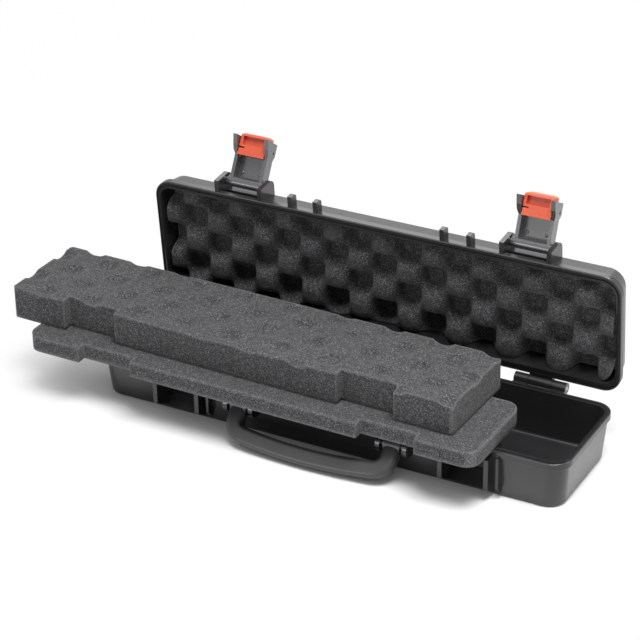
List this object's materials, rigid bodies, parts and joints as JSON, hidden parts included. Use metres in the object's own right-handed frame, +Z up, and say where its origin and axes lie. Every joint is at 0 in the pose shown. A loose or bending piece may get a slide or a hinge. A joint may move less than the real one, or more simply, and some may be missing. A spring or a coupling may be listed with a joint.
{
  "type": "hard case",
  "caption": "Long shallow hard case with a hinged lid, draw latches with release buttons, a folding carrying handle, egg-crate foam in the lid and loose foam inserts.",
  "frame": {"origin": "middle of the base's underside, on the table", "axes": "+X along the case to its right end, -Y out of the front with the handle, +Z up"},
  "size_m": [0.4955, 0.1776, 0.2001],
  "materials": {
    "case": "fine satin, moulded",
    "lever": "semi-gloss",
    "button": "semi-gloss",
    "pin": "bright drawn",
    "seal": "matte",
    "foam": "open-cell foam, matte"
  },
  "bodies": {
    "base": {"base_shell": "case", "hinge_pin_left": "pin", "hinge_pin_right": "pin", "handle_pin_left": "pin", "handle_pin_right": "pin"},
    "lid": {"lid_shell": "case", "lid_seal": "seal", "lid_foam": "foam", "latch_pin_left": "pin", "latch_pin_right": "pin"},
    "handle": {"handle": "case"},
    "sheet": {"foam_sheet": "foam"},
    "pad": {"foam_pad": "foam"},
    "latch_left": {"latch_lever_left": "lever", "button_pin_left": "pin", "button_spring_left": "pin"},
    "button_left": {"release_button_left": "button"},
    "latch_right": {"latch_lever_right": "lever", "button_pin_right": "pin", "button_spring_right": "pin"},
    "button_right": {"release_button_right": "button"}
  },
  "joints": [
    {"name": "lid_hinge", "type": "hinge", "parent": "base", "child": "lid", "pos_m": [0, 0.0596, 0.0426], "axis": [1, 0, 0], "range_deg": [0, 85]},
    {"name": "handle_hinge", "type": "hinge", "parent": "base", "child": "handle", "pos_m": [0, -0.0575, 0.027], "axis": [-1, 0, 0], "range_deg": [0, 52]},
    {"name": "sheet_slide", "type": "slide", "parent": "base", "child": "sheet", "axis": [0, -1, 0], "range_m": [0, 0.17]},
    {"name": "pad_lift", "type": "slide", "parent": "sheet", "child": "pad", "axis": [0, 0, 1], "range_m": [0, 0.12]},
    {"name": "latch_left_hinge", "type": "hinge", "parent": "lid", "child": "latch_left", "pos_m": [-0.129, 0.06489, 0.16001], "axis": [1, 0, 0], "range_deg": [-3, 124]},
    {"name": "button_left_hinge", "type": "hinge", "parent": "latch_left", "child": "button_left", "pos_m": [-0.129, 0.0813, 0.18384], "axis": [-1, 0, 0], "range_deg": [0, 15], "stiffness_Nm_per_rad": 0.1, "springref_deg": -11.46},
    {"name": "latch_right_hinge", "type": "hinge", "parent": "lid", "child": "latch_right", "pos_m": [0.129, 0.06489, 0.16001], "axis": [1, 0, 0], "range_deg": [-11, 116]},
    {"name": "button_right_hinge", "type": "hinge", "parent": "latch_right", "child": "button_right", "pos_m": [0.129, 0.07782, 0.18589], "axis": [-1, 0, 0], "range_deg": [0, 15], "stiffness_Nm_per_rad": 0.1, "springref_deg": -11.46}
  ],
  "couplings": [
    {"joint": "sheet_slide", "follows": "lid_hinge", "m_per_rad": 0.11459}
  ]
}
